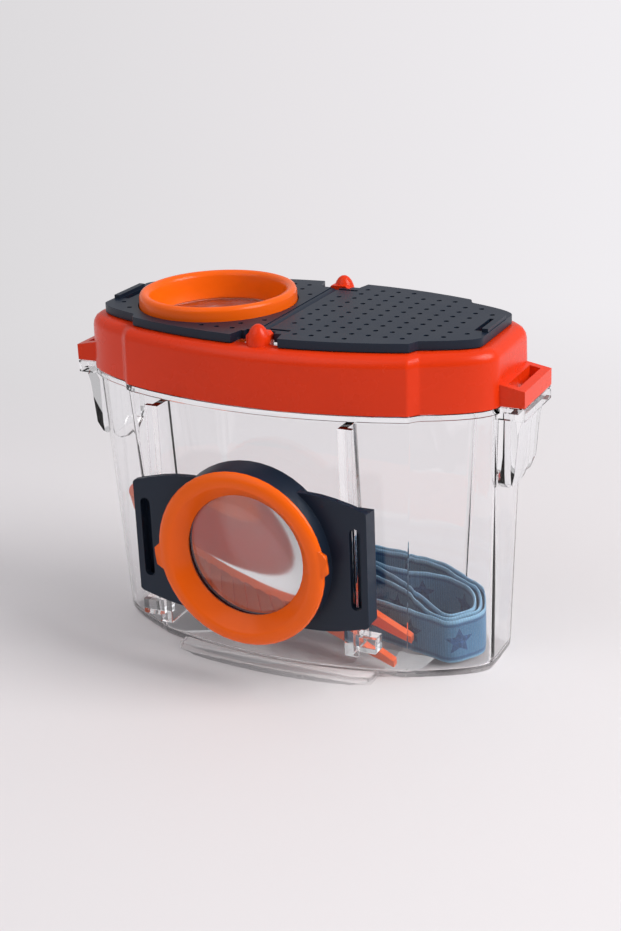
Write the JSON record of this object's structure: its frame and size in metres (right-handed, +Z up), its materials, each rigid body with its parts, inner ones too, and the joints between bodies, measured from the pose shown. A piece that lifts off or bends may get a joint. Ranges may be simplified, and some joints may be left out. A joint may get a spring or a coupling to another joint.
{
  "type": "insect observation box",
  "caption": "Clear tub with a lift-off rim, hinged air-hole flaps, a lid lens and a magnifier that slides on rails, with tweezers and an elastic strap inside.",
  "frame": {"origin": "centre of the tub's flat foot, on the surface that it stands on", "axes": "+X along the box towards the plain flap, -Y out of the side with the magnifier, +Z up"},
  "size_m": [0.1496, 0.0858, 0.111],
  "materials": {
    "clear_plastic": "clear polished polystyrene",
    "orange_plastic": "glossy orange-red moulded plastic",
    "bright_orange_plastic": "glossy bright orange moulded plastic",
    "navy_plastic": "satin dark navy moulded plastic",
    "lens_plastic": "clear polished acrylic",
    "elastic_fabric": "steel-blue woven elastic"
  },
  "bodies": {
    "tub": {"tub": "clear_plastic"},
    "rim": {"rim": "orange_plastic"},
    "left_flap": {"left_flap": "navy_plastic", "lid_lens_ring": "bright_orange_plastic", "lid_lens": "lens_plastic"},
    "right_flap": {"right_flap": "navy_plastic"},
    "magnifier": {"lens_holder": "navy_plastic", "front_lens": "lens_plastic"},
    "bezel": {"front_bezel": "bright_orange_plastic"},
    "tweezers": {"tweezer_front_arm": "orange_plastic"},
    "tweezer_back": {"tweezer_back_arm": "orange_plastic"},
    "strap": {"elastic_strap": "elastic_fabric"}
  },
  "joints": [
    {"name": "rim_lift", "type": "slide", "parent": "tub", "child": "rim", "axis": [0, 0, 1], "range_m": [0, 0.02]},
    {"name": "left_flap_hinge", "type": "hinge", "parent": "rim", "child": "left_flap", "pos_m": [-0.0019, 0, 0.1045], "axis": [0, 1, 0], "range_deg": [0, 60]},
    {"name": "right_flap_hinge", "type": "hinge", "parent": "rim", "child": "right_flap", "pos_m": [0.0016, 0, 0.106], "axis": [0, -1, 0], "range_deg": [0, 60]},
    {"name": "magnifier_slide", "type": "slide", "parent": "tub", "child": "magnifier", "axis": [0, 0, 1], "range_m": [-0.0042, 0.023]},
    {"name": "bezel_twist", "type": "hinge", "parent": "magnifier", "child": "bezel", "pos_m": [0, -0.047, 0.0433], "axis": [0, 1, 0], "range_deg": [0, 36]},
    {"name": "tweezers_lift", "type": "slide", "parent": "tub", "child": "tweezers", "axis": [0, 0, 1], "range_m": [0, 0.03]},
    {"name": "tweezer_squeeze", "type": "hinge", "parent": "tweezers", "child": "tweezer_back", "pos_m": [-0.05156, -0.00566, 0.03978], "axis": [-0.2179, 0.5571, -0.8014], "range_deg": [0, 4], "stiffness_Nm_per_rad": 0.8},
    {"name": "strap_lift", "type": "slide", "parent": "tub", "child": "strap", "axis": [0, 0, 1], "range_m": [0, 0.03]}
  ]
}
